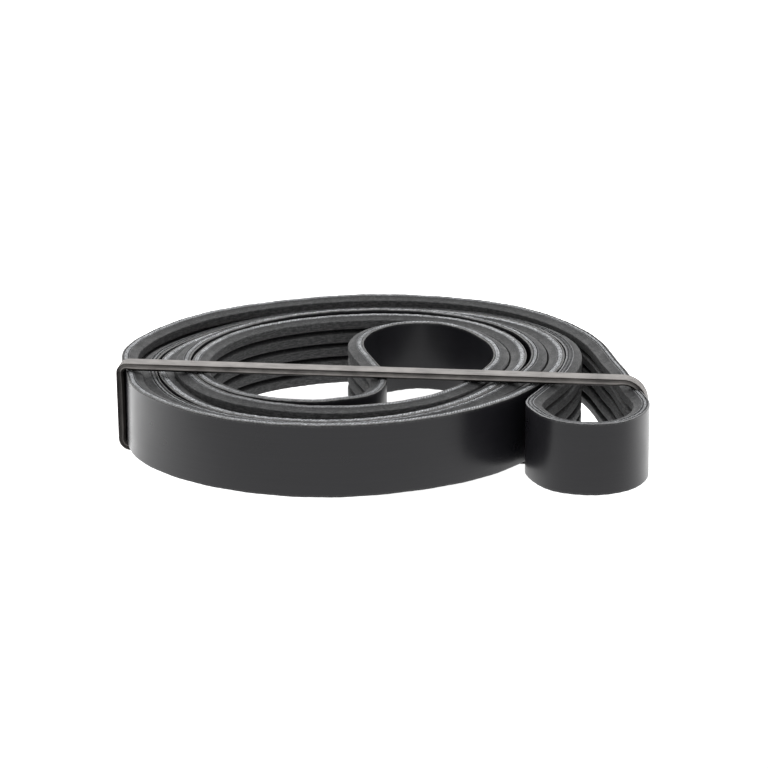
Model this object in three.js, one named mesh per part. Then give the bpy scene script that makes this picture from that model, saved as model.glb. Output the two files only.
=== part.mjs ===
// An endless V-ribbed belt, coiled on its edge and held by one rubber band.
//
// Frame: millimetres, +Z up, the coil stands on its cut edge, the band passes over, round and under it.
// The belt is one closed ribbon. Folded double, its two runs are wound together into a flat coil:
// the fold at one end is the small end loop, the fold at the other end is the hook and eye in the middle.
// Every layer of the belt is swept along the same route, which is the line of its smooth back.

import * as THREE from 'three';

// Belt section
const RIB_COUNT = 5;
const RIB_PITCH = 3.56;
const BELT_WIDTH = RIB_COUNT * RIB_PITCH;
const RIB_SLOPE = THREE.MathUtils.degToRad(20); // each flank, from the rib's middle plane
const TOUCH_GAP = 0.15; // back face and rib tips stand this far off the strand that they touch
const LAYER_GAP = 0.05; // between bonded layers
const BACK_END = 0.6; // where each layer ends, measured in from the line of the back
const CORD_END = 1.7;
const SHOULDER_END = 2.0; // where the flat cut edge stops and the outer flanks start
const BELT_THICKNESS = 4.2;
const GROOVE_FLOOR = 2.3; // groove bottoms, measured in from the line of the back
const EDGE_CORD_HEIGHT = 0.6; // the cord turn laid bare along each cut edge

// Route sampling
const SPLINE_STEPS = 24; // fine steps between two knots
const LONGEST_STEP = 9; // between stations, along the belt
const SHARPEST_STEP = THREE.MathUtils.degToRad(14); // between stations, in direction
const KNOT_PASSES = 60; // passes that settle the spline's control points

// Rubber band
const BAND_THICKNESS = 1.9;
const BAND_DEPTH = 4.2;
const BAND_CLEARANCE = 0.2; // above and below the strands that it presses on
const BAND_HALF_SPAN = 64.5; // from its middle to the inner face at each end
const BAND_MIDDLE = [1.2, -19.4]; // measured from the coil's middle
const BAND_TURN = THREE.MathUtils.degToRad(-6.7); // seen from above, left end further back
const BAND_CORNERS = { left: 2.6, right: 4.4 }; // outer radius at each end
const BAND_INNER_CORNER = 0.7; // inner radius, at least
const BAND_CORNER_STEPS = 6;

// Heights
const LOWEST_LIFT = 0.3; // how far the strands over the band hang below the outer turn
const BELT_BASE = BAND_THICKNESS + BAND_CLEARANCE + LOWEST_LIFT;
const HIGHEST_LIFT = 0.2; // how far the strands under the band stand above the outer turn
const BAND_INNER_TOP = BELT_BASE + BELT_WIDTH + HIGHEST_LIFT + BAND_CLEARANCE;

// The coil's middle, which the turns below are measured from
const COIL_MIDDLE = [-1.2, 0];

// Turns of the coil as [degrees round the middle, radius of the back, lift above the outer turn].
// First run: back outwards, ribs inwards, wound anticlockwise from the outside in.
const OUTER_TURN = [
  [0, 60.0, 0], [24, 59.2, 0], [56, 61.0, 0], [90, 60.6, 0], [124, 60.3, 0], [151, 61.6, 0], [174, 63.3, 0],
  [191.5, 63.3, 0], [209, 65.4, 0], [234, 65.0, 0], [260, 61.1, 0], [286, 54.7, 0], [308, 50.0, 0],
];
const SECOND_TURN = [
  [327, 47.0, -0.1], [350, 46.9, -0.1], [375, 48.6, -0.1], [402, 50.6, -0.2], [435, 51.6, -0.2],
  [468, 51.1, -0.2], [500, 51.7, -0.2], [528, 53.7, -0.1], [555, 54.9, -0.2], [582, 56.3, -0.8],
  [607, 54.3, -1.1], [630, 50.3, -1.0], [652, 44.6, -0.6], [672, 40.3, -0.3],
];
const THIRD_TURN = [
  [695, 37.8, 0], [720, 37.9, 0], [748, 39.8, 0], [778, 42.3, 0], [810, 41.5, 0], [842, 41.8, 0],
  [872, 43.5, 0], [902, 45.7, 0], [926, 47.0, 0], [948, 46.6, 0], [967, 43.4, 0],
];
// Second run: ribs outwards, wound clockwise from the eye back out to the end loop.
const EYE_SIDE = [[398, 31.8, 0.2], [376, 30.2, 0.2], [352, 29.1, 0.2], [330, 29.3, 0.1]];
const INNER_TURN = [
  [310, 32.0, 0.1], [289, 36.7, 0], [268, 41.8, 0], [247, 45.9, 0], [222, 48.0, 0], [195, 46.7, 0.1],
  [168, 45.4, 0.1], [140, 43.4, 0.2], [110, 42.7, 0.2], [76, 43.1, 0.2], [44, 42.0, 0.2],
  [17, 40.1, 0.1], [-8, 38.4, 0.1], [-32, 38.4, 0],
];
const BACKED_TURN = [
  [-53, 41.5, -0.2], [-74, 46.3, -0.6], [-97, 51.7, -0.9], [-121, 55.8, -1.0], [-148, 56.5, -0.5],
  [-177, 54.4, -0.1], [-204, 53.2, -0.2], [-236, 51.6, -0.2], [-268, 51.5, -0.2], [-300, 51.8, -0.2],
  [-330, 50.0, -0.1], [-356, 47.9, -0.1], [-382, 47.2, -0.1],
];

// The two folds as [x, y, lift], measured from the coil's middle.
const END_LOOP = [
  [37.2, -35, -0.1], [36.6, -44, 0], [40.6, -53.4, 0], [48.5, -58.4, 0], [57.2, -57.4, 0],
  [63.8, -50.4, 0], [66.2, -39.5, 0], [64.5, -27.5, 0], [62.6, -14, 0],
];
const HOOK_AND_EYE = [
  [-8, -38.2, 0], [-1, -34, 0], [2.2, -26.5, 0.1], [2.5, -16.5, 0.1], [-0.3, -4, 0.2], [-2.9, 8, 0.2],
  [-2.2, 18, 0.2], [2.4, 26.6, 0.2], [11, 30.6, 0.2], [19.4, 27.5, 0.2],
];

function fromTurn([degrees, radius, lift]) {
  const angle = THREE.MathUtils.degToRad(degrees);
  const x = COIL_MIDDLE[0] + radius * Math.cos(angle);
  const y = COIL_MIDDLE[1] + radius * Math.sin(angle);
  return new THREE.Vector3(x, y, lift);
}

function fromFold([x, y, lift]) {
  return new THREE.Vector3(COIL_MIDDLE[0] + x, COIL_MIDDLE[1] + y, lift);
}

// Control points of a closed cubic B-spline that passes through every knot.
function controlPoints(knots) {
  const count = knots.length;
  let points = knots.map((knot) => knot.clone());
  for (let pass = 0; pass < KNOT_PASSES; pass += 1) {
    points = knots.map((knot, i) => {
      const before = points[(i + count - 1) % count];
      const after = points[(i + 1) % count];
      return knot.clone().multiplyScalar(6).sub(before).sub(after).divideScalar(4);
    });
  }
  return points;
}

// The whole route in fine steps: x and y are the line of the back, z is the lift.
function fineRoute() {
  const knots = [
    ...END_LOOP.map(fromFold),
    ...[...OUTER_TURN, ...SECOND_TURN, ...THIRD_TURN].map(fromTurn),
    ...HOOK_AND_EYE.map(fromFold),
    ...[...EYE_SIDE, ...INNER_TURN, ...BACKED_TURN].map(fromTurn),
  ];
  const control = controlPoints(knots);
  const count = control.length;
  const points = [];
  for (let i = 0; i < count; i += 1) {
    for (let step = 0; step < SPLINE_STEPS; step += 1) {
      const t = step / SPLINE_STEPS;
      const weights = [
        (1 - t) ** 3,
        3 * t ** 3 - 6 * t ** 2 + 4,
        -3 * t ** 3 + 3 * t ** 2 + 3 * t + 1,
        t ** 3,
      ];
      const point = new THREE.Vector3();
      weights.forEach((weight, k) => {
        point.addScaledVector(control[(i + count - 1 + k) % count], weight / 6);
      });
      points.push(point);
    }
  }
  return points;
}

// Stations picked from the fine route, closer together where it bends more.
// side points to the left of the direction of travel, which is where the ribs are.
function pickStations(points) {
  const count = points.length;
  const stations = [];
  let due = 1;
  for (let i = 0; i < count; i += 1) {
    const before = points[(i + count - 1) % count];
    const after = points[(i + 1) % count];
    const arrive = new THREE.Vector2(points[i].x - before.x, points[i].y - before.y);
    const leave = new THREE.Vector2(after.x - points[i].x, after.y - points[i].y);
    if (due >= 1) {
      const along = arrive.clone().add(leave).normalize();
      stations.push({ point: points[i], side: new THREE.Vector2(-along.y, along.x) });
      due = 0;
    }
    const bend = Math.abs(Math.atan2(arrive.cross(leave), arrive.dot(leave)));
    due += Math.max(leave.length() / LONGEST_STEP, bend / SHARPEST_STEP);
  }
  return stations;
}

const STATIONS = pickStations(fineRoute());

// A closed ring: section is [distance in from the back, height], clockwise seen along the travel.
function sweep(section) {
  const positions = [];
  for (const { point, side } of STATIONS) {
    for (const [inwards, height] of section) {
      positions.push(point.x + side.x * inwards, point.y + side.y * inwards, BELT_BASE + point.z + height);
    }
  }
  const size = section.length;
  const indices = [];
  for (let s = 0; s < STATIONS.length; s += 1) {
    const next = (s + 1) % STATIONS.length;
    for (let k = 0; k < size; k += 1) {
      const l = (k + 1) % size;
      const [a, b, c, d] = [s * size + k, s * size + l, next * size + l, next * size + k];
      indices.push(a, c, b, a, d, c);
    }
  }
  const geometry = new THREE.BufferGeometry();
  geometry.setAttribute('position', new THREE.Float32BufferAttribute(positions, 3));
  geometry.setIndex(indices);
  geometry.computeVertexNormals();
  return geometry;
}

// A plain layer between two distances in from the back and two heights.
function layerSection(start, end, low, high) {
  return [[start, low], [start, high], [end, high], [end, low]];
}

// The ribbed layer: one V rib per pitch, its tip cut flat, on a web as wide as the belt.
function ribSection() {
  const tip = BELT_THICKNESS - TOUCH_GAP;
  const web = CORD_END + LAYER_GAP;
  const tipInset = (tip - SHOULDER_END) * Math.tan(RIB_SLOPE);
  const outline = [[web, 0], [web, BELT_WIDTH], [SHOULDER_END, BELT_WIDTH]];
  for (let rib = RIB_COUNT - 1; rib >= 0; rib -= 1) {
    outline.push([tip, (rib + 1) * RIB_PITCH - tipInset], [tip, rib * RIB_PITCH + tipInset]);
    if (rib > 0) outline.push([GROOVE_FLOOR, rib * RIB_PITCH]);
  }
  outline.push([SHOULDER_END, 0]);
  return outline;
}

// Rounded outline of the band's loop, seen along its hole.
function bandOutline(inset, cornerLeft, cornerRight) {
  const reach = BAND_HALF_SPAN + BAND_THICKNESS - inset;
  const low = inset;
  const high = BAND_INNER_TOP + BAND_THICKNESS - inset;
  const path = new THREE.Shape();
  path.absarc(reach - cornerRight, high - cornerRight, cornerRight, 0, Math.PI / 2);
  path.absarc(-reach + cornerLeft, high - cornerLeft, cornerLeft, Math.PI / 2, Math.PI);
  path.absarc(-reach + cornerLeft, low + cornerLeft, cornerLeft, Math.PI, 1.5 * Math.PI);
  path.absarc(reach - cornerRight, low + cornerRight, cornerRight, 1.5 * Math.PI, 2 * Math.PI);
  return path.getPoints(BAND_CORNER_STEPS);
}

function bandGeometry() {
  const shape = new THREE.Shape(bandOutline(0, BAND_CORNERS.left, BAND_CORNERS.right));
  shape.holes.push(new THREE.Path(bandOutline(BAND_THICKNESS, BAND_INNER_CORNER, BAND_INNER_CORNER)));
  const geometry = new THREE.ExtrudeGeometry(shape, { depth: BAND_DEPTH, bevelEnabled: false });
  return geometry.translate(0, 0, -BAND_DEPTH / 2);
}

const rubber = (color, roughness) => new THREE.MeshStandardMaterial({ color, roughness, metalness: 0 });

function addMesh(parent, name, geometry, material) {
  const mesh = new THREE.Mesh(geometry, material);
  mesh.name = name;
  parent.add(mesh);
  return mesh;
}

function buildBelt() {
  const belt = new THREE.Group();
  const top = BELT_WIDTH - EDGE_CORD_HEIGHT;
  const cordStart = BACK_END + LAYER_GAP;
  const back = layerSection(TOUCH_GAP, BACK_END, 0, BELT_WIDTH);
  const cords = layerSection(cordStart, CORD_END, EDGE_CORD_HEIGHT + LAYER_GAP, top - LAYER_GAP);
  addMesh(belt, 'belt_back', sweep(back), rubber('#3a3b3d', 0.5));
  addMesh(belt, 'cord_layer', sweep(cords), rubber('#4a4c4e', 0.8));
  addMesh(belt, 'rib_layer', sweep(ribSection()), rubber('#2b2c2e', 0.7));
  const lower = layerSection(cordStart, CORD_END, 0, EDGE_CORD_HEIGHT);
  const upper = layerSection(cordStart, CORD_END, top, BELT_WIDTH);
  addMesh(belt, 'edge_cord_lower', sweep(lower), rubber('#b9bcbc', 0.9));
  addMesh(belt, 'edge_cord_upper', sweep(upper), rubber('#b9bcbc', 0.9));
  return belt;
}

function buildBand() {
  const band = new THREE.Group();
  const mesh = addMesh(band, 'rubber_band', bandGeometry(), rubber('#4b4641', 0.65));
  mesh.rotation.x = Math.PI / 2;
  band.rotation.z = BAND_TURN;
  band.position.set(COIL_MIDDLE[0] + BAND_MIDDLE[0], COIL_MIDDLE[1] + BAND_MIDDLE[1], 0);
  return band;
}

const part = new THREE.Group();
part.add(buildBelt(), buildBand());

export default part;
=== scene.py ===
import math

import bpy
import numpy as np
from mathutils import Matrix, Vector


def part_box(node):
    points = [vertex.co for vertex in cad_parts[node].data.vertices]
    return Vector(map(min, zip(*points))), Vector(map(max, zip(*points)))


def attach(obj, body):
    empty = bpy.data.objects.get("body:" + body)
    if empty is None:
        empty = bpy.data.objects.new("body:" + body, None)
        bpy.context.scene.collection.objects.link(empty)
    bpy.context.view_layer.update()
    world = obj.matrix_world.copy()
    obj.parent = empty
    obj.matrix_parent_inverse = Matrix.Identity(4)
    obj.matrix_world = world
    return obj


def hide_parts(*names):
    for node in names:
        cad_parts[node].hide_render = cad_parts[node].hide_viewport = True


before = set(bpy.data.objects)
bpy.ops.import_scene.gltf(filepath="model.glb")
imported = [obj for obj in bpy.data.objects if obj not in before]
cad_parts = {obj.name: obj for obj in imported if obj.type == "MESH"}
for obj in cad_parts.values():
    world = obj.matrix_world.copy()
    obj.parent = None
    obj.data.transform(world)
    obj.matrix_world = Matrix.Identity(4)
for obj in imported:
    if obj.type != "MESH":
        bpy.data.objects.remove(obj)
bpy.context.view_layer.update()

MM = 0.001
SEED = 7
KNOT_PASSES = 60  # passes that settle the spline's control points
ROUTE_STEPS = 40  # fine steps between two knots
WAVE_PARTS = 3  # neighbouring waves that make up one waviness
MAP_MARGIN = 0.04  # share of each row that the bake map leaves free on either side

# Belt section: widths in from the line of the smooth back, heights up from the lower cut edge
RIB_COUNT = 5
RIB_PITCH = 3.56
BELT_WIDTH = RIB_COUNT * RIB_PITCH
BACK_FACE = 0.05
BACK_END = 0.6
CORD_END = 1.7
SHOULDER_END = 2.0
GROOVE_FLOOR = 2.2
RIB_TIP = 4.1
RIB_SLOPE = math.radians(20)
BOND = 0.02  # hairline between two layers
GUM_SET_BACK = 0.06  # how far the cushion gum lies below the cut edges

# Rounding of the section's corners, the steps in each, and the spacing of the rings along the belt
BACK_RADIUS = 0.2
CREST_RADIUS = 0.32
GROOVE_RADIUS = 0.12
SHOULDER_RADIUS = 0.1
BACK_STEPS = 4
SECTION_STEPS = 3
BACK_SPACING = 1.0
GUM_SPACING = 1.5
RIB_SPACING = 1.35

CUT_DEPTH = 0.3  # how far the saw's waviness reaches into the section
CUT_WAVES = ((2.9, 0.06), (11.0, 0.05), (47.0, 0.06))  # wavelength and height
WORN_REACH = 0.35  # how near a rubbed corner a point is rubbed too
BACK_RUBBED = 0.7  # how far onto the smooth back the rubbing at its edges fades out
HANDLED_TO = (0.02, 0.1)  # metres along the belt where the paler cut edge at the end loop fades out
HANDLED_FROM = (1.63, 1.7)  # and where it comes back

# Cord laid bare along a cut edge. It winds round the belt at a slight slope, so the cut meets it in the
# middle of the belt's length and misses it at the end loop. Shares are of the belt's length.
CORD_CENTRE = 1.15
CORD_WIDTH = 1.15
CORD_LEAST_WIDTH = 0.1  # share of its width where the cut misses it
CORD_CROWN = 0.14  # how far it stands out of the cut
CORD_LEAST_CROWN = 0.25  # share of that where the cut misses it
CORD_SUNK = 0.03  # how far its middle lies below the cut
CORD_PLIES = 3
CORD_LAY = 2.55  # length of one turn of its twist
CORD_PLY_WIDTH = 0.09  # how much the plies show in its outline, as a share of its half width
CORD_PLY_CROWN = 0.35  # and of its crown
CORD_MOST_BARE = 0.44
CORD_BARE_REACH = 0.47
CORD_WANDER = ((23.0, 0.06),)  # wavelength and how far it wanders sideways
CORD_BARE = 0.62  # how pale it is on the whole
CORD_PATCHES = ((9.0, 0.25), (31.0, 0.25), (170.0, 0.15))  # wavelength and change of paleness
CORD_COVERED = ((0.575, 0.035, 0.8), (0.69, 0.03, 0.7))  # place, reach and share that rubber hides
CORD_SPACING = {"top": 0.25, "bottom": 0.5}  # of its rings along the belt
CORD_POINTS = {"top": 12, "bottom": 8}  # round its section

# The outer turn's lower cut edge stands this far above the floor, on the band
OUTER_BASE = 2.4
COIL_MIDDLE = (-1.2, 0.0)

# Turns as (degrees round the middle, radius of the back, lift above the outer turn)
OUTER_TURN = [
    (0, 60.0, 0), (24, 59.4, 0), (56, 61.5, 0), (90, 61.3, 0), (124, 61.0, 0), (151, 62.5, 0),
    (174, 64.1, 0), (191.5, 63.4, 0), (209, 65.6, 0), (234, 65.1, 0), (260, 61.1, 0), (286, 54.6, 0),
    (308, 50.0, 0),
]
SECOND_TURN = [
    (327, 47.0, -0.1), (350, 46.9, -0.1), (375, 48.6, -0.2), (402, 50.6, -0.5), (435, 51.6, -1.2),
    (468, 51.1, -1.7), (500, 51.7, -2.0), (528, 53.8, -1.9), (555, 55.2, -1.2), (582, 56.2, -1.9),
    (607, 54.2, -1.8), (630, 50.3, -1.4), (652, 44.6, -1.0), (672, 40.3, -0.5),
]
THIRD_TURN = [
    (695, 37.8, 0), (720, 37.9, 0), (748, 39.8, 0), (778, 42.3, 0), (810, 41.5, 0), (842, 41.8, 0),
    (872, 43.6, 0), (902, 46.0, 0), (926, 47.4, 0), (948, 46.8, 0), (967, 43.4, 0),
]
EYE_SIDE = [(398, 31.8, 0.4), (376, 30.2, 0.3), (352, 29.1, 0.2), (330, 29.3, 0.2)]
INNER_TURN = [
    (310, 32.0, 0.1), (289, 36.7, 0), (268, 41.8, 0), (247, 45.9, 0), (222, 48.0, 0), (195, 47.0, 0),
    (168, 45.5, 0.1), (140, 43.4, 0.3), (110, 42.7, 0.5), (76, 43.1, 0.5), (44, 42.0, 0.4),
    (17, 40.1, 0.2), (-8, 38.4, 0.1), (-32, 38.4, 0),
]
BACKED_TURN = [
    (-53, 41.5, -0.4), (-74, 46.3, -1.0), (-97, 51.7, -1.5), (-121, 55.6, -1.7), (-148, 56.5, -1.8),
    (-177, 54.9, -1.2), (-204, 53.1, -2.0), (-236, 51.6, -1.8), (-268, 51.5, -1.6), (-300, 51.8, -1.1),
    (-330, 50.0, -0.4), (-356, 47.9, -0.1), (-382, 47.2, -0.1),
]
# The two folds as (x, y, lift), measured from the coil's middle
END_LOOP = [
    (37.2, -35, -0.1), (36.6, -44, 0), (40.6, -53.4, 0), (48.5, -58.4, 0), (57.2, -57.4, 0),
    (63.8, -50.4, 0), (66.2, -39.5, -0.1), (64.5, -27.5, -0.4), (62.6, -14, -0.1),
]
HOOK_AND_EYE = [
    (-8, -38.2, 0), (-1, -34, 0), (2.2, -26.5, 0.1), (2.5, -16.5, 0.2), (-0.3, -4, 0.3), (-2.9, 8, 0.4),
    (-2.2, 18, 0.4), (2.4, 26.6, 0.4), (11, 30.6, 0.4), (19.4, 27.5, 0.4),
]

# Rubber band. Its loop stands upright across the coil; depth is its width, from front to back.
BAND_MIDDLE = (0.0, -19.4)
BAND_TURN = math.radians(-6.7)
BAND_CAD_DEPTH = 4.2
BAND_DEPTH = 4.7
BAND_THICKNESS = 1.95
BAND_CORNERS = {"left foot": 3.1, "right foot": 4.0, "right top": 6.2, "left top": 2.6}
BAND_CORNER_STEPS = 12
BAND_SPACING = 0.5
# Half of its section, as (set in from its side in mm, depth as a share of its thickness, radius)
BAND_SECTION = (
    (0.1, 0, 0.08), (0.1, 0.09, 0.05), (0.7, 0.16, 0.04), (0.7, 0.36, 0.06), (0, 0.7, 0.16), (0.6, 1, 0.15),
)
BAND_LEAN_TOP = 0.55  # how far the uprights stand inside the CAD band, at the top and at the left foot
BAND_LEAN_FOOT = 1.0
BAND_BEND_REACH = 3  # steps on either side over which its bend is measured
BAND_SHARP = 0.03  # bend from which it is thinned all the way
BAND_SMOOTHING = 6  # passes that spread the thinning along it
BAND_THINNED = 0.16  # share of its thickness that it loses where it bends
BAND_SQUASHED = 1.0  # its thickness between the inner turns and the floor
BAND_SQUASHED_TO = (57.0, 60.5)  # how far from its middle that reaches, and where it is thick again
BAND_FACE_PAINTED_SHEEN = 0.8  # how pale its outer face is painted: a painted sheen for the light that glances off it from above and behind
BAND_FACET_PAINTED_LIGHT = 0.95  # and the painted light on the upper facet of its sides, where it lies across the coil under the light from above
BAND_FACET_LIT_HEIGHTS = (0.875, 1)  # share of the loop's height from which that painted light grows, and where it is strongest
# least share of that painted light, lower on the loop
BAND_FACET_LEAST_LIGHT = 0.12
BAND_FACE_END = 0.1  # where the outer face ends, as a share of its thickness
BAND_FACET = (0.3, 0.7)  # and where the facet starts and ends

# Camera, looking along +Y and a little down
CAMERA_LENS = 185.16
CAMERA_SENSOR = 36
CAMERA_ELEVATION = math.radians(16.2)
CAMERA_AIM = (0.8, 6.0, 11.3)
CAMERA_DISTANCE = 1.0  # in metres, like the next
CAMERA_SIGHT = 20

# Soft light: the room, and two panels whose places and sizes are in metres
ROOM_GLOW = 0.55
TOP_PANEL = {"place": (0, 0, 1.2), "width": 1.0, "height": 1.0, "radiance": 3.0}
BACK_PANEL = {"place": (0, 1.5, 0.62), "width": 2.6, "height": 0.9, "radiance": 2.0}

# Glow of the light table, in metres: weaker in front of the coil and under it, strong beside and behind
FLOOR_REACH = 6.0
FLOOR_ALBEDO = 0.04
FLOOR_GLOW = 2.2
FLOOR_FRONT = (-0.08, 0.02)  # y from which the glow grows, and where it is full
FLOOR_FRONT_GLOW = 1.02
FLOOR_UNDER = (0.04, 0.057)  # distance from the middle from which it grows, and where it is full
FLOOR_UNDER_GLOW = 1.05


# ---------------------------------------------------------------- curves and sections

def from_turn(degrees, radius, lift):
    """A knot of a turn as x, y and lift."""
    angle = math.radians(degrees)
    return (COIL_MIDDLE[0] + radius * math.cos(angle), COIL_MIDDLE[1] + radius * math.sin(angle), lift)


def from_fold(x, y, lift):
    """A knot of a fold as x, y and lift."""
    return (COIL_MIDDLE[0] + x, COIL_MIDDLE[1] + y, lift)


def closed_spline(knots, steps):
    """Points of a closed cubic B-spline that passes through the knots."""
    control = knots.copy()
    for _ in range(KNOT_PASSES):
        control = (6 * knots - np.roll(control, 1, 0) - np.roll(control, -1, 0)) / 4
    t = np.arange(steps)[:, None] / steps
    weights = [
        (1 - t) ** 3,
        3 * t**3 - 6 * t**2 + 4,
        -3 * t**3 + 3 * t**2 + 3 * t + 1,
        t**3,
    ]
    spans = []
    for i in range(len(knots)):
        corners = [control[(i - 1 + k) % len(knots)] for k in range(4)]
        spans.append(sum(w * c for w, c in zip(weights, corners)) / 6)
    return np.vstack(spans)


def resampled(points, step, closed=True):
    """The same line in equal steps, and the distance along it of each new point."""
    line = np.vstack([points, points[:1]]) if closed else points
    lengths = np.linalg.norm(np.diff(line[:, :2], axis=0), axis=1)
    along = np.concatenate([[0], np.cumsum(lengths)])
    count = int(round(along[-1] / step))
    wanted = np.linspace(0, along[-1], count, endpoint=not closed)
    new = np.stack([np.interp(wanted, along, line[:, k]) for k in range(3)], 1)
    return new, wanted, along[-1]


def belt_route():
    """The line of the belt's back: x, y and the height of the lower cut edge, in fine steps."""
    knots = [from_fold(*k) for k in END_LOOP]
    knots += [from_turn(*k) for k in OUTER_TURN + SECOND_TURN + THIRD_TURN]
    knots += [from_fold(*k) for k in HOOK_AND_EYE]
    knots += [from_turn(*k) for k in EYE_SIDE + INNER_TURN + BACKED_TURN]
    line = closed_spline(np.array(knots, float), ROUTE_STEPS)
    line[:, 2] += OUTER_BASE
    return line


def rounded(corners, steps):
    """A closed outline whose corners (x, y, radius) are cut by arcs of that many steps."""
    outline = []
    count = len(corners)
    for i, (x, y, radius) in enumerate(corners):
        here = np.array([x, y], float)
        if radius <= 0:
            outline.append(here)
            continue
        before = np.array(corners[i - 1][:2], float) - here
        after = np.array(corners[(i + 1) % count][:2], float) - here
        before /= np.linalg.norm(before)
        after /= np.linalg.norm(after)
        half = math.acos(np.clip(before @ after, -1, 1)) / 2
        reach = radius / math.tan(half)
        middle = here + (before + after) / np.linalg.norm(before + after) * radius / math.sin(half)
        start = here + before * reach - middle
        end = here + after * reach - middle
        turn = math.atan2(start[0] * end[1] - start[1] * end[0], start @ end)
        first = math.atan2(start[1], start[0])
        for k in range(steps + 1):
            angle = first + turn * k / steps
            outline.append(middle + radius * np.array([math.cos(angle), math.sin(angle)]))
    return np.array(outline)


# ---------------------------------------------------------------- meshes

def bake_map(mesh, stations, size, length, girth):
    """A second UV map that folds the long strip into rows of one square picture."""
    rows = max(1, round(math.sqrt(length / girth[-1])))
    per_row = math.ceil(stations / rows)
    index = np.arange(stations)
    row = np.repeat((index // per_row)[:, None], size, 1)
    column = np.repeat((index % per_row)[:, None], size, 1)
    share = girth / girth[-1] * (1 - 2 * MAP_MARGIN) + MAP_MARGIN
    low = np.repeat(share[None, :-1], stations, 0)
    high = np.repeat(share[None, 1:], stations, 0)
    u0, u1 = column / per_row, (column + 1) / per_row
    v0, v1 = (row + low) / rows, (row + high) / rows
    set_uv(mesh, "OFBake", u0, u1, v0, v1)


def set_uv(mesh, name, u0, u1, v0, v1):
    """Each face's four corners: start and end along the strip, start and end round the section."""
    uv = np.stack([u0, v0, u1, v0, u1, v1, u0, v1], -1)
    layer = mesh.uv_layers.new(name=name)
    layer.data.foreach_set("uv", uv.astype(np.float32).ravel())


def ring_mesh(name, rings, along, length, girth, cut=None, worn=None):
    """A closed tube of rings (stations x points x 3, in mm).

    cut marks the faces round the section that take the second material. The last argument, from 0 to 1, is
    how pale
    each point is: pale from wear and bare cord on the belt, and on the rubber band a painted sheen and
    painted light.
    """
    stations, size = rings.shape[:2]
    a = np.arange(stations)[:, None] * size + np.arange(size)[None]
    b = np.roll(a, -1, 1)
    c = np.roll(b, -1, 0)
    d = np.roll(a, -1, 0)
    corners = np.stack([a, d, c, b], -1).astype(np.int32)
    faces = stations * size
    mesh = bpy.data.meshes.new(name)
    mesh.vertices.add(faces)
    mesh.vertices.foreach_set("co", (rings * MM).astype(np.float32).ravel())
    mesh.loops.add(faces * 4)
    mesh.loops.foreach_set("vertex_index", corners.ravel())
    mesh.polygons.add(faces)
    mesh.polygons.foreach_set("loop_start", np.arange(0, faces * 4, 4, dtype=np.int32))
    mesh.polygons.foreach_set("use_smooth", np.ones(faces, bool))
    if cut is not None:
        mesh.polygons.foreach_set("material_index", np.tile(cut, stations).astype(np.int32))
    u0 = np.repeat(along[:, None], size, 1) * MM
    u1 = np.repeat(np.append(along[1:], length)[:, None], size, 1) * MM
    v0 = np.repeat(girth[None, :-1], stations, 0) * MM
    v1 = np.repeat(girth[None, 1:], stations, 0) * MM
    set_uv(mesh, "strip", u0, u1, v0, v1)
    bake_map(mesh, stations, size, length, girth)
    if worn is not None:
        wear = mesh.attributes.new("worn", "FLOAT", "POINT")
        wear.data.foreach_set("value", np.broadcast_to(worn, (stations, size)).astype(np.float32).ravel())
    mesh.update()
    mesh.validate()
    obj = bpy.data.objects.new(name, mesh)
    bpy.context.scene.collection.objects.link(obj)
    return obj


def girth_of(section):
    """Running length round a closed section, from 0 to the whole girth."""
    lengths = np.linalg.norm(np.roll(section, -1, 0) - section, axis=1)
    return np.concatenate([[0], np.cumsum(lengths)])


def sweep(name, sections, line, along, length, girth, **marks):
    """A belt layer: sections (stations x points x 2) hold distance in from the back, and height."""
    travel = (np.roll(line, -1, 0) - np.roll(line, 1, 0))[:, :2]
    travel /= np.linalg.norm(travel, axis=1)[:, None]
    side = np.stack([-travel[:, 1], travel[:, 0]], 1)
    inwards = sections[..., 0]
    rings = np.empty(sections.shape[:2] + (3,))
    rings[..., 0] = line[:, None, 0] + side[:, None, 0] * inwards
    rings[..., 1] = line[:, None, 1] + side[:, None, 1] * inwards
    rings[..., 2] = line[:, None, 2] + sections[..., 1]
    return ring_mesh(name, rings, along, length, girth, **marks)


def weighted(obj):
    """Normals that follow the large faces, so that small rounded corners don't shade the flats."""
    modifier = obj.modifiers.new("normals", "WEIGHTED_NORMAL")
    modifier.keep_sharp = True
    return obj


# ---------------------------------------------------------------- belt

def waves_along(along, length, waves, seed):
    """Smooth waviness that meets itself where the endless belt closes."""
    random = np.random.default_rng(seed)
    total = np.zeros_like(along)
    for wave, size in waves:
        cycles = max(1, round(length / wave))
        for extra in range(WAVE_PARTS):
            phase = random.uniform(0, 2 * math.pi)
            total += size / WAVE_PARTS * np.sin(2 * math.pi * (cycles + extra) * along / length + phase)
    return total


def layer(name, corners, step, steps, worn_at=()):
    """One rubber layer. Its upper and lower faces are the belt's cut edges.

    worn_at lists corners, as (distance in, height), whose points are rubbed pale.
    """
    line, along, length = resampled(belt_route(), step)
    section = rounded(corners, steps)
    sections = np.repeat(section[None], len(line), 0)
    at_top = section[:, 1] > BELT_WIDTH - CUT_DEPTH
    at_bottom = section[:, 1] < CUT_DEPTH
    sections[:, at_top, 1] += waves_along(along, length, CUT_WAVES, SEED)[:, None]
    sections[:, at_bottom, 1] += waves_along(along, length, CUT_WAVES, SEED + 1)[:, None]
    onward = np.roll(section, -1, 0)
    level = abs(onward[:, 1] - section[:, 1]) < abs(onward[:, 0] - section[:, 0])
    cut = level & ((at_top & np.roll(at_top, -1)) | (at_bottom & np.roll(at_bottom, -1)))
    worn = np.zeros(len(section))
    for place in worn_at:
        worn = np.maximum(worn, np.linalg.norm(section - np.array(place), axis=1) < WORN_REACH)
    return weighted(sweep(name, sections, line, along, length, girth_of(section), cut=cut, worn=worn))


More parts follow.
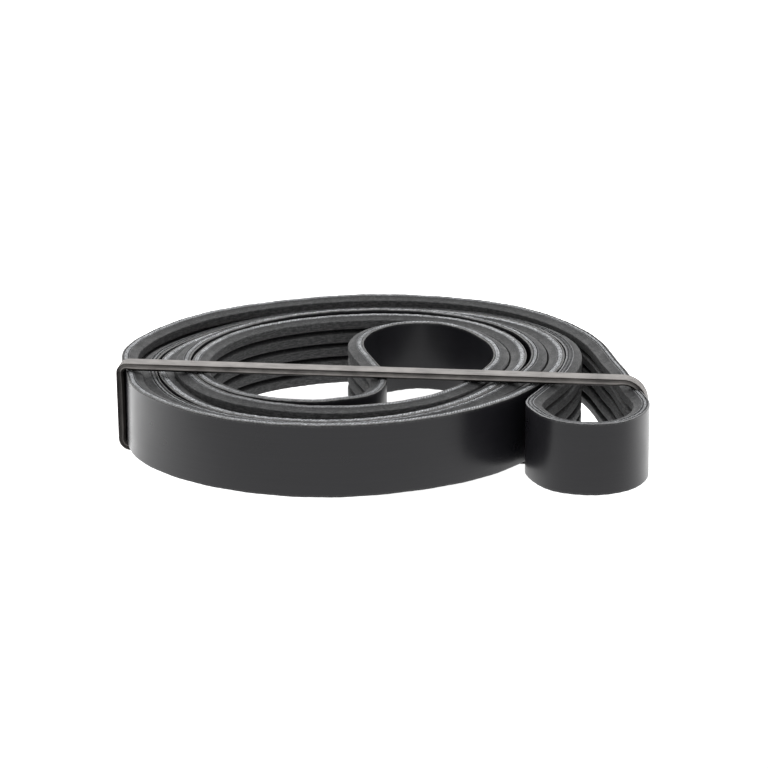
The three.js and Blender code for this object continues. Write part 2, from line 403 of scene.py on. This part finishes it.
def build_back():
    """The smooth back, rubbed along both its edges."""
    top = BELT_WIDTH
    corners = [
        (BACK_FACE, 0, BACK_RADIUS), (BACK_FACE, BACK_RUBBED, 0), (BACK_FACE, top - BACK_RUBBED, 0),
        (BACK_FACE, top, BACK_RADIUS), (BACK_END, top, 0), (BACK_END, 0, 0),
    ]
    worn_at = [(BACK_FACE, 0), (BACK_FACE, top)]
    return layer("belt_back_skin", corners, BACK_SPACING, BACK_STEPS, worn_at)


def build_cushion():
    """The cushion gum round the tension cords, a little below the cut edges."""
    low = GUM_SET_BACK
    top = BELT_WIDTH - GUM_SET_BACK
    start = BACK_END + BOND
    corners = [(start, low, 0), (start, top, 0), (CORD_END, top, 0), (CORD_END, low, 0)]
    return layer("cord_cushion", corners, GUM_SPACING, 1)


def build_ribs():
    """The ribbed layer: five V ribs with rounded crests, and the grooves between them."""
    web = CORD_END + BOND
    inset = (RIB_TIP - SHOULDER_END) * math.tan(RIB_SLOPE)
    corners = [(web, 0, 0), (web, BELT_WIDTH, 0), (SHOULDER_END, BELT_WIDTH, SHOULDER_RADIUS)]
    crests = []
    for rib in reversed(range(RIB_COUNT)):
        crests.append((RIB_TIP, (rib + 1) * RIB_PITCH - inset))
        crests.append((RIB_TIP, rib * RIB_PITCH + inset))
        corners.append((*crests[-2], CREST_RADIUS))
        corners.append((*crests[-1], CREST_RADIUS))
        if rib:
            corners.append((GROOVE_FLOOR, rib * RIB_PITCH, GROOVE_RADIUS))
    corners.append((SHOULDER_END, 0, SHOULDER_RADIUS))
    return layer("rib_layer_ground", corners, RIB_SPACING, SECTION_STEPS, crests)


def build_edge_cord(edge):
    """The outermost tension cord, twisted from plies and laid bare where the cut runs along it."""
    line, along, length = resampled(belt_route(), CORD_SPACING[edge])
    showing = np.sqrt(np.clip(1 - ((along / length - CORD_MOST_BARE) / CORD_BARE_REACH) ** 2, 0, 1))
    angle = np.linspace(0, 2 * math.pi, CORD_POINTS[edge], endpoint=False)
    lay = 2 * math.pi * round(length / CORD_LAY) / length
    plies = np.cos(CORD_PLIES * (angle[None] - lay * along[:, None]))
    half_width = CORD_WIDTH / 2 * np.maximum(showing, CORD_LEAST_WIDTH)[:, None]
    half_width = half_width * (1 + CORD_PLY_WIDTH * plies)
    crown = CORD_CROWN * np.maximum(showing, CORD_LEAST_CROWN)[:, None]
    crown = crown * (1 + CORD_PLY_CROWN * plies)
    upper = edge == "top"
    height = BELT_WIDTH - CORD_SUNK if upper else CORD_SUNK
    waves = waves_along(along, length, CUT_WAVES, SEED if upper else SEED + 1)
    wander = waves_along(along, length, CORD_WANDER, SEED + 2)
    inwards = CORD_CENTRE + wander[:, None] + half_width * np.cos(angle)
    heights = height + waves[:, None] + crown * np.sin(angle)
    sections = np.stack([inwards, heights], -1)[:, ::-1]
    girth = np.linspace(0, 2 * math.pi, CORD_POINTS[edge] + 1)
    patches = waves_along(along, length, CORD_PATCHES, SEED + 3)
    worn = np.clip(CORD_BARE + patches, 0, 1) * showing
    for place, reach, share in CORD_COVERED:
        worn *= 1 - share * np.exp(-(((along / length - place) / reach) ** 2))
    return sweep("edge_cord_" + edge, sections, line, along, length, girth, worn=worn[:, None])


# ---------------------------------------------------------------- rubber band

def band_path(step):
    """The line of the band's outer face in its own upright plane, across and up, in equal steps."""
    low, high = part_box("rubber_band")
    turn = abs(BAND_TURN)
    reach = ((high.x - low.x) / MM - BAND_CAD_DEPTH * math.sin(turn)) / 2 / math.cos(turn)
    top = high.z / MM
    corners = [
        (-reach + BAND_LEAN_FOOT, 0, BAND_CORNERS["left foot"]),
        (reach - BAND_LEAN_TOP, 0, BAND_CORNERS["right foot"]),
        (reach - BAND_LEAN_TOP, top, BAND_CORNERS["right top"]),
        (-reach + BAND_LEAN_TOP, top, BAND_CORNERS["left top"]),
    ]
    outline = rounded(corners, BAND_CORNER_STEPS)
    return resampled(np.column_stack([outline, np.zeros(len(outline))]), step)


def build_band():
    """A cut rubber band: flat outer face, a crease below its edges, and sides that come to a ridge."""
    path, along, length = band_path(BAND_SPACING)
    travel = (np.roll(path, -1, 0) - np.roll(path, 1, 0))[:, :2]
    travel /= np.linalg.norm(travel, axis=1)[:, None]
    bend = 1 - (np.roll(travel, -BAND_BEND_REACH, 0) * np.roll(travel, BAND_BEND_REACH, 0)).sum(1)
    bend = np.clip(bend / BAND_SHARP, 0, 1)
    for _ in range(BAND_SMOOTHING):
        bend = (np.roll(bend, 1) + bend + np.roll(bend, -1)) / 3
    thickness = BAND_THICKNESS * (1 - BAND_THINNED * bend)
    above = path[:, 1] > BELT_WIDTH
    full = np.clip(np.interp(abs(path[:, 0]), BAND_SQUASHED_TO, (0, 1)) + above, 0, 1)
    thickness = np.minimum(thickness, BAND_SQUASHED + (BAND_THICKNESS - BAND_SQUASHED) * full)
    across, up = travel[:, 1], -travel[:, 0]
    side = BAND_DEPTH / 2
    half = [(side - inset, -share * BAND_THICKNESS, radius) for inset, share, radius in BAND_SECTION]
    corners = half + [(-x, y, radius) for x, y, radius in reversed(half)]
    section = rounded(corners, SECTION_STEPS)
    x_axis = np.array([math.cos(BAND_TURN), math.sin(BAND_TURN), 0])
    y_axis = np.array([-math.sin(BAND_TURN), math.cos(BAND_TURN), 0])
    z_axis = np.array([0, 0, 1.0])
    outwards = across[:, None] * x_axis + up[:, None] * z_axis
    outwards = outwards * (thickness / BAND_THICKNESS)[:, None]
    place = np.array([*BAND_MIDDLE, 0]) + path[:, :1] * x_axis + path[:, 1:2] * z_axis
    rings = place[:, None] + section[None, :, :1] * y_axis + section[None, :, 1:] * outwards[:, None]
    # Paleness per point round the section: a painted sheen on the outer face, and painted light on the
    # upper facet, strongest where the band lies across the top of the coil under the light from above
    share = -section[:, 1] / BAND_THICKNESS
    outer = share < BAND_FACE_END
    facet = (share > BAND_FACET[0]) & (share < BAND_FACET[1])
    height = path[:, 1:2] / path[:, 1].max()
    facet_painted_light = BAND_FACET_PAINTED_LIGHT * np.clip(np.interp(height, BAND_FACET_LIT_HEIGHTS, (0, 1)), BAND_FACET_LEAST_LIGHT, 1)
    worn = np.where(outer, BAND_FACE_PAINTED_SHEEN, np.where(facet, facet_painted_light, 0.0))
    return weighted(ring_mesh("rubber_band_loop", rings, along, length, girth_of(section), worn=worn))


# ---------------------------------------------------------------- materials

class Look:
    """A material in the making, with short ways to add its nodes."""

    def __init__(self, name, ior):
        self.material = bpy.data.materials.new(name)
        self.material.use_nodes = True
        self.tree = self.material.node_tree
        self.shader = self.tree.nodes["Principled BSDF"]
        self.shader.inputs["IOR"].default_value = ior
        self.place = self.add("TexCoord").outputs["Object"]
        strip = self.add("UVMap")
        strip.uv_map = "strip"
        self.strip = strip.outputs["UV"]

    def add(self, kind, settings=None, **inputs):
        """A node, with its settings, and its inputs by name or by number after an underscore."""
        node = self.tree.nodes.new("ShaderNode" + kind)
        for key, value in (settings or {}).items():
            setattr(node, key, value)
        for key, value in inputs.items():
            socket = node.inputs[int(key[1:]) if key[0] == "_" else key.replace("_", " ")]
            if isinstance(value, bpy.types.NodeSocket):
                self.tree.links.new(value, socket)
            else:
                socket.default_value = value
        return node

    def noise(self, size, detail=3, stretch=None):
        """Noise about 0.5 with features of that size; stretch makes them that much longer than wide."""
        place = self.place
        if stretch:
            place = self.add("Mapping", Vector=self.strip, Scale=(1 / stretch, 1, 1)).outputs["Vector"]
        return self.add("TexNoise", Vector=place, Scale=1 / (size * MM), Detail=detail).outputs["Fac"]

    def ramp(self, value, low, high, to_low=0.0, to_high=1.0):
        """A value moved from one range to another, and kept inside the second."""
        inputs = {"Value": value, "From_Min": low, "From_Max": high, "To_Min": to_low, "To_Max": to_high}
        return self.add("MapRange", **inputs).outputs["Result"]

    def sums(self, a, b, how="ADD"):
        return self.add("Math", {"operation": how}, _0=a, _1=b).outputs["Value"]

    def times(self, a, b):
        return self.sums(a, b, "MULTIPLY")

    def mix(self, share, low, high):
        """A colour between two; each is a colour or a socket."""
        def full(colour):
            return colour if isinstance(colour, bpy.types.NodeSocket) else (*colour, 1)
        node = self.add("Mix", {"data_type": "RGBA"}, _0=share, _6=full(low), _7=full(high))
        return node.outputs[2]

    # Paleness per point: wear and bare cord on the belt, a painted sheen and painted light on the rubber
    # band
    def worn(self):
        return self.add("Attribute", {"attribute_name": "worn"}).outputs["Fac"]

    def finish(self, colour, roughness, height, depth):
        """Joins the colour, the roughness and a height map, whose full range is depth millimetres."""
        self.tree.links.new(colour, self.shader.inputs["Base Color"])
        self.tree.links.new(roughness, self.shader.inputs["Roughness"])
        bump = self.add("Bump", Strength=1.0, Distance=depth * MM, Height=height)
        self.tree.links.new(bump.outputs["Normal"], self.shader.inputs["Normal"])
        return self.material


def moulded_rubber():
    """The smooth back: satin black, with faint streaks along the belt and a few pale specks."""
    look = Look("moulded_back_rubber", 1.48)
    smudge = look.noise(9, 2)
    streak = look.noise(0.6, 3, stretch=40)
    grain = look.noise(0.25, 2)
    tone = look.ramp(look.sums(smudge, streak), 0.7, 1.3)
    colour = look.mix(tone, (0.0085, 0.0084, 0.0105), (0.0115, 0.0112, 0.0138))
    speck = look.ramp(look.noise(0.35, 2), 0.72, 0.78)
    frayed = look.times(look.worn(), look.ramp(look.noise(0.5, 4), 0.35, 0.7))
    colour = look.mix(look.times(speck, 0.15), colour, (0.1, 0.1, 0.095))
    colour = look.mix(look.times(frayed, 0.6), colour, (0.085, 0.085, 0.085))
    roughness = look.ramp(smudge, 0.3, 0.7, 0.27, 0.35)
    height = look.sums(look.times(grain, 0.2), streak)
    return look.finish(colour, roughness, height, 0.00025)


def cut_rubber(name, dark, light):
    """A sawn edge: matt, mottled grey, with fine grit and faint marks of the blade along the belt.

    It is paler round the end loop, where the belt is handled.
    """
    look = Look(name, 1.45)
    mottle = look.noise(2.2, 6)
    grit = look.noise(0.16, 3)
    blade = look.noise(0.22, 3, stretch=14)
    tone = look.sums(look.times(mottle, 0.55), look.times(look.sums(grit, blade), 0.3))
    colour = look.mix(look.ramp(tone, 0.42, 0.72), dark, light)
    along = look.add("SeparateXYZ", Vector=look.strip).outputs["X"]
    past_loop = look.ramp(along, *HANDLED_TO, 1, 0)
    before_loop = look.ramp(along, *HANDLED_FROM, 0, 1)
    handled = look.sums(past_loop, before_loop, "MAXIMUM")
    pale = look.times(handled, look.ramp(look.sums(mottle, grit), 0.8, 1.2, 0.3, 0.85))
    colour = look.mix(pale, colour, (0.3, 0.304, 0.318))
    fleck = look.ramp(look.noise(0.7, 4), 0.48, 0.66)
    colour = look.mix(look.times(fleck, 0.42), colour, (0.25, 0.255, 0.265))
    roughness = look.ramp(mottle, 0.3, 0.7, 0.62, 0.8)
    return look.finish(colour, roughness, look.sums(grit, blade), 0.03)


def ground_rubber():
    """The ribs: ground matt, short fibres in the rubber, flecked, and frayed pale along the crests."""
    look = Look("ground_rib_rubber", 1.45)
    mottle = look.noise(3.0, 5)
    fibre = look.noise(0.14, 3, stretch=9)
    grit = look.noise(0.2, 3)
    tone = look.sums(look.times(mottle, 0.45), look.times(look.sums(fibre, grit), 0.28))
    colour = look.mix(look.ramp(tone, 0.36, 0.68), (0.009, 0.0092, 0.01), (0.017, 0.0175, 0.019))
    lint = look.times(look.worn(), look.ramp(look.noise(0.3, 4, stretch=6), 0.42, 0.62, 0.18, 0.68))
    colour = look.mix(look.times(lint, 0.45), colour, (0.2, 0.2, 0.2))
    fleck = look.ramp(look.noise(0.5, 4), 0.5, 0.68)
    colour = look.mix(look.times(fleck, 0.16), colour, (0.2, 0.2, 0.2))
    roughness = look.ramp(mottle, 0.3, 0.7, 0.6, 0.78)
    return look.finish(colour, roughness, look.sums(fibre, grit), 0.008)


def cord_yarn():
    """Twisted polyester cord: pale plies, with dark rubber left between them and in patches."""
    look = Look("bare_cord_yarn", 1.5)
    place = look.add("SeparateXYZ", Vector=look.strip)
    turn = look.times(place.outputs["X"], 2 * math.pi / (CORD_LAY * MM))
    angle = look.sums(look.times(place.outputs["Y"], 1 / MM), turn, "SUBTRACT")
    ply = look.sums(look.times(angle, CORD_PLIES), 0, "COSINE")
    stain = look.noise(0.7, 5)
    fibre = look.noise(0.1, 3, stretch=5)
    tone = look.sums(look.times(ply, 0.16), look.sums(look.times(stain, 0.9), look.times(fibre, 0.4)))
    tone = look.times(look.ramp(tone, 0.4, 0.95), look.ramp(look.worn(), 0.0, 0.6, 0.25, 1.0))
    smear = look.ramp(look.noise(0.45, 3, stretch=3), 0.38, 0.58, 0.3, 1.0)
    tone = look.times(tone, smear)
    colour = look.mix(tone, (0.05, 0.051, 0.053), (0.85, 0.87, 0.9))
    roughness = look.ramp(stain, 0.3, 0.7, 0.6, 0.8)
    return look.finish(colour, roughness, look.sums(look.times(ply, 0.3), fibre), 0.06)


def band_rubber():
    """Brown-black rubber with a painted pale sheen on its outer face and painted light on the upper facet
    of its sides, drawn out into fine streaks.
    """
    look = Look("brown_band_rubber", 1.38)
    mottle = look.noise(4.0, 4)
    streak = look.noise(0.3, 3, stretch=25)
    grain = look.noise(0.2, 2)
    tone = look.sums(look.times(mottle, 0.5), look.times(streak, 0.5))
    colour = look.mix(look.ramp(tone, 0.4, 0.6), (0.01, 0.0085, 0.0078), (0.019, 0.016, 0.0145))
    # Painted light: a pale sheen on the outer face, and light from above on the upper facet, mixed in as
    # colour
    painted_light = look.times(look.worn(), look.ramp(look.sums(mottle, streak), 0.75, 1.2, 0.5, 1.0))
    colour = look.mix(painted_light, colour, (0.4, 0.378, 0.362))
    roughness = look.ramp(tone, 0.35, 0.65, 0.58, 0.7)
    return look.finish(colour, roughness, look.sums(streak, look.times(grain, 0.6)), 0.02)


def dress(obj, slot, body, materials, *nodes):
    """Gives a piece its materials and its body, and hides the CAD nodes that it stands for. The slot is not
    used.
    """
    for made in materials:
        obj.data.materials.append(made)
    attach(obj, body)
    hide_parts(*nodes)


# ---------------------------------------------------------------- stage

def build_camera():
    """A long lens in front of the object, a little above it."""
    camera = bpy.data.cameras.new("camera")
    camera.sensor_width = CAMERA_SENSOR
    camera.lens = CAMERA_LENS
    camera.clip_end = CAMERA_SIGHT
    obj = bpy.data.objects.new("camera", camera)
    bpy.context.scene.collection.objects.link(obj)
    back = Vector((0, -math.cos(CAMERA_ELEVATION), math.sin(CAMERA_ELEVATION)))
    obj.location = Vector(CAMERA_AIM) * MM + back * CAMERA_DISTANCE
    obj.rotation_euler = (-back).to_track_quat("-Z", "Y").to_euler()
    bpy.context.scene.camera = obj


def smooth_ramp(look, reach, low, high):
    """A node that moves a value from one range to another, easing in and out."""
    ramp = look.node_tree.nodes.new("ShaderNodeMapRange")
    ramp.interpolation_type = "SMOOTHSTEP"
    for socket, value in zip(("From Min", "From Max", "To Min", "To Max"), (*reach, low, high)):
        ramp.inputs[socket].default_value = value
    return ramp


def build_floor():
    """A light table, white by its own glow, so that it hardly takes a shadow."""
    look = bpy.data.materials.new("light_table")
    look.use_nodes = True
    shader = look.node_tree.nodes["Principled BSDF"]
    shader.inputs["Base Color"].default_value = (FLOOR_ALBEDO, FLOOR_ALBEDO, FLOOR_ALBEDO, 1)
    shader.inputs["Roughness"].default_value = 1.0
    shader.inputs["Specular IOR Level"].default_value = 0.0
    shader.inputs["Emission Color"].default_value = (1, 1, 1, 1)
    place = look.node_tree.nodes.new("ShaderNodeTexCoord")
    parts = look.node_tree.nodes.new("ShaderNodeSeparateXYZ")
    away = look.node_tree.nodes.new("ShaderNodeVectorMath")
    away.operation = "LENGTH"
    rise = smooth_ramp(look, FLOOR_FRONT, FLOOR_FRONT_GLOW, FLOOR_GLOW)
    inside = smooth_ramp(look, FLOOR_UNDER, FLOOR_UNDER_GLOW / FLOOR_GLOW, 1)
    product = look.node_tree.nodes.new("ShaderNodeMath")
    product.operation = "MULTIPLY"
    glow = look.node_tree.nodes.new("ShaderNodeMath")
    glow.operation = "MAXIMUM"
    glow.inputs[1].default_value = FLOOR_FRONT_GLOW
    link = look.node_tree.links.new
    link(place.outputs["Object"], parts.inputs["Vector"])
    link(place.outputs["Object"], away.inputs[0])
    link(parts.outputs["Y"], rise.inputs["Value"])
    link(away.outputs["Value"], inside.inputs["Value"])
    link(rise.outputs["Result"], product.inputs[0])
    link(inside.outputs["Result"], product.inputs[1])
    link(product.outputs["Value"], glow.inputs[0])
    link(glow.outputs["Value"], shader.inputs["Emission Strength"])
    mesh = bpy.data.meshes.new("floor")
    corners = [(FLOOR_REACH * x, FLOOR_REACH * y, 0) for x, y in ((-1, -1), (1, -1), (1, 1), (-1, 1))]
    mesh.from_pydata(corners, [], [(0, 1, 2, 3)])
    obj = bpy.data.objects.new("floor", mesh)
    bpy.context.scene.collection.objects.link(obj)
    obj.data.materials.append(look)


def panel(name, place, width, height, radiance):
    """A soft panel that faces the object."""
    light = bpy.data.lights.new(name, "AREA")
    light.shape = "RECTANGLE"
    light.size = width
    light.size_y = height
    light.energy = radiance * math.pi * width * height
    obj = bpy.data.objects.new(name, light)
    bpy.context.scene.collection.objects.link(obj)
    obj.location = place
    obj.rotation_euler = Vector(place).to_track_quat("Z", "Y").to_euler()


def build_light():
    """An even white room, with one soft panel overhead and one behind the object."""
    world = bpy.data.worlds.new("studio")
    world.use_nodes = True
    background = world.node_tree.nodes["Background"]
    background.inputs["Color"].default_value = (1, 1, 1, 1)
    background.inputs["Strength"].default_value = ROOM_GLOW
    bpy.context.scene.world = world
    panel("top_panel", **TOP_PANEL)
    panel("back_panel", **BACK_PANEL)
    bpy.context.scene.view_settings.view_transform = "Standard"


build_camera()
build_floor()
build_light()
moulded = moulded_rubber()
back_cut = cut_rubber("cut_back_rubber", (0.05, 0.049, 0.048), (0.16, 0.157, 0.152))
gum = cut_rubber("cord_cushion_gum", (0.03, 0.031, 0.033), (0.1, 0.102, 0.106))
rib_cut = cut_rubber("cut_rib_rubber", (0.03, 0.031, 0.034), (0.1, 0.102, 0.107))
yarn = cord_yarn()
dress(build_back(), "belt_back_rubber", "belt", [moulded, back_cut], "belt_back")
dress(build_cushion(), "cushion_gum", "belt", [gum, gum], "cord_layer")
dress(build_ribs(), "rib_rubber", "belt", [ground_rubber(), rib_cut], "rib_layer")
dress(build_edge_cord("top"), "cord_yarn", "belt", [yarn], "edge_cord_upper")
dress(build_edge_cord("bottom"), "cord_yarn", "belt", [yarn], "edge_cord_lower")
dress(build_band(), "band_rubber", "rubber_band", [band_rubber()], "rubber_band")
